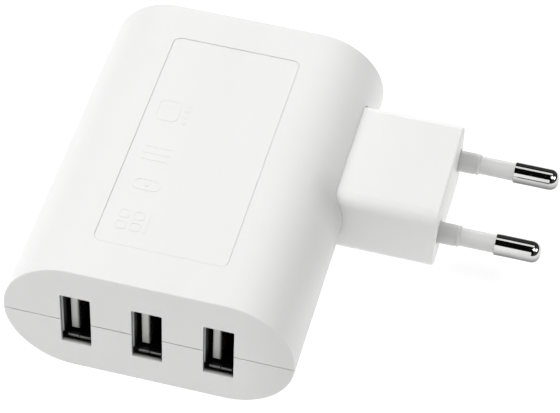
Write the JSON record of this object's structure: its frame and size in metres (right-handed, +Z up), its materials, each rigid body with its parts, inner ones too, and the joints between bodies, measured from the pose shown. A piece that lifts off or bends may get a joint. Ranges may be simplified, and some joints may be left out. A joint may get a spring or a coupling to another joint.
{
  "type": "usb wall charger",
  "caption": "White wall charger with a European two-pin plug on its side and upright USB sockets in one end face; the contacts in each socket are sprung.",
  "frame": {"origin": "centre of the flat face that the charger lies on", "axes": "+X along the plug pins and out of the plug face, -Y out of the USB sockets, +Z up from the flat face"},
  "size_m": [0.0899, 0.0696, 0.0256],
  "materials": {
    "housing_white": "fine satin moulded white plastic",
    "block_white": "fine satin moulded white plastic",
    "sleeve_grey": "satin insulating plastic",
    "pin_nickel": "bright nickel plate",
    "terminal_brass": "plain stamped brass",
    "socket_steel": "tin-plated steel",
    "insulator_white": "moulded nylon",
    "contact_gold": "gold-flashed bronze",
    "board_green": "solder-masked laminate",
    "card_grey": "fish-paper card",
    "retainer_white": "moulded plastic",
    "fuse_glass": "ceramic tube with plated caps",
    "varistor_blue": "epoxy dip",
    "thermistor_green": "epoxy dip",
    "film_yellow": "moulded film capacitor case",
    "ferrite_black": "sintered ferrite",
    "winding_copper": "enamelled copper wire",
    "device_black": "moulded epoxy",
    "can_sleeve": "printed heat-shrink sleeve",
    "polymer_can": "plain aluminium can",
    "heatsink_alloy": "plain stamped aluminium",
    "screw_steel": "zinc-plated steel",
    "bobbin_black": "phenolic bobbin",
    "tape_yellow": "polyester tape",
    "disc_blue": "coated ceramic disc",
    "shrink_black": "shrink sleeve",
    "chip_tan": "ceramic chip",
    "resistor_black": "thick-film chip"
  },
  "bodies": {
    "charger": {"bottom_shell": "housing_white", "bridge_rectifier": "device_black", "bulk_capacitor_1": "can_sleeve", "bulk_capacitor_2": "can_sleeve", "choke_core": "ferrite_black", "choke_windings": "winding_copper", "fuse": "fuse_glass", "inrush_thermistor": "thermistor_green", "insulation_sheet": "card_grey", "line_pin": "pin_nickel", "line_pin_sleeve": "sleeve_grey", "line_terminal": "terminal_brass", "main_board": "board_green", "neutral_pin": "pin_nickel", "neutral_pin_sleeve": "sleeve_grey", "neutral_terminal": "terminal_brass", "optocoupler": "device_black", "output_capacitor_1": "polymer_can", "output_capacitor_2": "polymer_can", "output_inductor": "shrink_black", "output_rectifier": "device_black", "plug_block": "block_white", "plug_retainer": "retainer_white", "port_controller_1": "device_black", "port_controller_2": "device_black", "port_controller_3": "device_black", "pwm_controller": "device_black", "rectifier_heatsink": "heatsink_alloy", "rectifier_screw": "screw_steel", "smd_capacitors": "chip_tan", "smd_resistors": "resistor_black", "switching_transistor": "device_black", "top_shell": "housing_white", "transformer_bobbin": "bobbin_black", "transformer_core": "ferrite_black", "transformer_tape": "tape_yellow", "transformer_winding": "winding_copper", "transistor_heatsink": "heatsink_alloy", "transistor_screw": "screw_steel", "usb_insulator_1": "insulator_white", "usb_insulator_2": "insulator_white", "usb_insulator_3": "insulator_white", "usb_shell_1": "socket_steel", "usb_shell_2": "socket_steel", "usb_shell_3": "socket_steel", "usb_tails_1": "contact_gold", "usb_tails_2": "contact_gold", "usb_tails_3": "contact_gold", "varistor": "varistor_blue", "x_capacitor": "film_yellow", "y_capacitor": "disc_blue"},
    "contact_set_1": {"usb_contacts_1": "contact_gold"},
    "contact_set_2": {"usb_contacts_2": "contact_gold"},
    "contact_set_3": {"usb_contacts_3": "contact_gold"}
  },
  "joints": [
    {"name": "usb_contacts_1_press", "type": "hinge", "parent": "charger", "child": "contact_set_1", "pos_m": [-0.01407, -0.0225, 0.01254], "axis": [0, 0, -1], "range_deg": [0, 3.5], "stiffness_Nm_per_rad": 0.02},
    {"name": "usb_contacts_2_press", "type": "hinge", "parent": "charger", "child": "contact_set_2", "pos_m": [-0.00099, -0.0225, 0.01254], "axis": [0, 0, -1], "range_deg": [0, 3.5], "stiffness_Nm_per_rad": 0.02},
    {"name": "usb_contacts_3_press", "type": "hinge", "parent": "charger", "child": "contact_set_3", "pos_m": [0.01209, -0.0225, 0.01254], "axis": [0, 0, -1], "range_deg": [0, 3.5], "stiffness_Nm_per_rad": 0.02}
  ]
}
